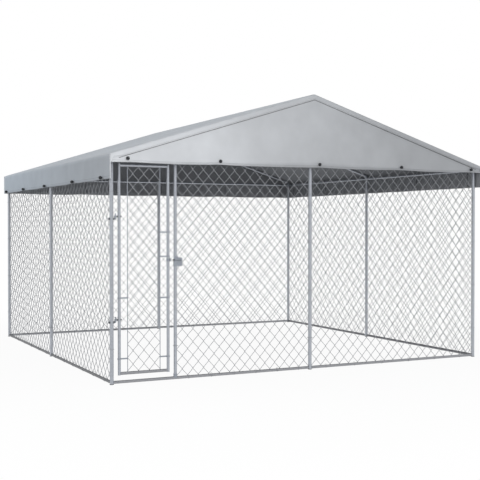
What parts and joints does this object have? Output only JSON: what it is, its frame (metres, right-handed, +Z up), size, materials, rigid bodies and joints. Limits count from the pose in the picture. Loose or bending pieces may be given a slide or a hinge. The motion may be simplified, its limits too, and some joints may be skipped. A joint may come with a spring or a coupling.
{
  "type": "outdoor dog kennel run",
  "caption": "Walk-in dog run of galvanised tube and chain-link mesh, with a narrow hinged door, a barrel bolt and a gabled fabric roof held by elastic ball ties.",
  "frame": {"origin": "middle of the footprint on the ground", "axes": "+Z up, -Y towards the door wall, +X to the right seen from outside the door"},
  "size_m": [3.9496, 4.0296, 2.5118],
  "materials": {
    "galvanised_tube": "dull zinc",
    "mesh_wire": "dull zinc",
    "zinc_fittings": "satin zinc",
    "cover_cloth": "silver-grey coated cloth",
    "black_plastic": "matt",
    "elastic_cord": "matt"
  },
  "bodies": {
    "frame": {"front_left_post": "galvanised_tube", "front_right_post": "galvanised_tube", "rear_left_post": "galvanised_tube", "rear_right_post": "galvanised_tube", "front_middle_post": "galvanised_tube", "rear_middle_post": "galvanised_tube", "left_middle_post": "galvanised_tube", "right_middle_post": "galvanised_tube", "latch_post": "galvanised_tube", "post_plugs": "black_plastic", "latch_post_saddles": "zinc_fittings", "rail_stubs": "zinc_fittings", "front_bottom_rails": "galvanised_tube", "rear_bottom_rails": "galvanised_tube", "left_bottom_rails": "galvanised_tube", "right_bottom_rails": "galvanised_tube", "front_top_rails": "galvanised_tube", "rear_top_rails": "galvanised_tube", "left_top_rails": "galvanised_tube", "right_top_rails": "galvanised_tube", "ridge_tubes": "galvanised_tube", "front_rafters": "galvanised_tube", "middle_rafters": "galvanised_tube", "rear_rafters": "galvanised_tube", "eave_fittings": "zinc_fittings", "ridge_fittings": "zinc_fittings", "left_roof_panel": "cover_cloth", "right_roof_panel": "cover_cloth", "left_skirt": "cover_cloth", "right_skirt": "cover_cloth", "front_gable": "cover_cloth", "rear_gable": "cover_cloth", "cover_eyelets": "zinc_fittings", "tie_cords": "elastic_cord", "tie_balls": "black_plastic", "front_left_mesh": "mesh_wire", "front_right_mesh": "mesh_wire", "rear_left_mesh": "mesh_wire", "rear_right_mesh": "mesh_wire", "left_front_mesh": "mesh_wire", "left_rear_mesh": "mesh_wire", "right_front_mesh": "mesh_wire", "right_rear_mesh": "mesh_wire", "hinge_pintles": "zinc_fittings", "hinge_pintle_nuts": "zinc_fittings", "latch_plate": "zinc_fittings", "latch_screws": "zinc_fittings"},
    "door": {"door_hinge_stile": "galvanised_tube", "door_latch_stile": "galvanised_tube", "door_top_rail": "galvanised_tube", "door_bottom_rail": "galvanised_tube", "door_tension_rods": "zinc_fittings", "door_tension_bands": "zinc_fittings", "door_mesh": "mesh_wire", "hinge_eyes": "zinc_fittings", "hinge_eye_nuts": "zinc_fittings", "latch_keeper": "zinc_fittings"},
    "latch_slide_bolt": {"latch_bolt": "zinc_fittings", "latch_knob": "zinc_fittings"}
  },
  "joints": [
    {"name": "door_hinge", "type": "hinge", "parent": "frame", "child": "door", "pos_m": [-1.866, -1.9, 0], "axis": [0, 0, -1], "range_deg": [0, 110]},
    {"name": "latch_slide", "type": "slide", "parent": "frame", "child": "latch_slide_bolt", "axis": [-1, 0, 0], "range_m": [0, 0.03]}
  ]
}
